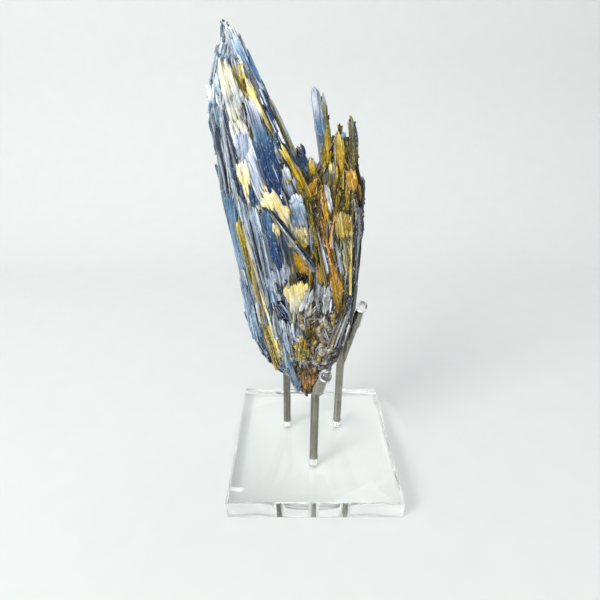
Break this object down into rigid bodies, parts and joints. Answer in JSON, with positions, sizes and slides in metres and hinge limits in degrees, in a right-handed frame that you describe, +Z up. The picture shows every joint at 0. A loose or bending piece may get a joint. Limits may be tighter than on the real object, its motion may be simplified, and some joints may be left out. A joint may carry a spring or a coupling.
{
  "type": "kyanite blade cluster on a rod stand",
  "caption": "Upright cluster of blue bladed kyanite with iron-stained yellow and orange zones, resting on three capped, bent steel rods that stand in a square clear acrylic slab.",
  "frame": {"origin": "middle of the acrylic slab's underside", "axes": "+Z up, -Y towards the viewer's side with the single front rod, +X to the viewer's right"},
  "size_m": [0.1035, 0.1016, 0.2477],
  "materials": {
    "kyanite": "satin, striated blades with cream, ochre and orange staining",
    "clear_acrylic": "clear, polished faces and edges",
    "steel": "drawn stainless rod, satin",
    "clear_vinyl": "clear, soft gloss"
  },
  "bodies": {
    "root": {"kyanite_cluster": "kyanite", "acrylic_base": "clear_acrylic", "front_rod": "steel", "left_rod": "steel", "right_rod": "steel", "front_cap": "clear_vinyl", "left_cap": "clear_vinyl", "right_cap": "clear_vinyl"}
  },
  "joints": []
}
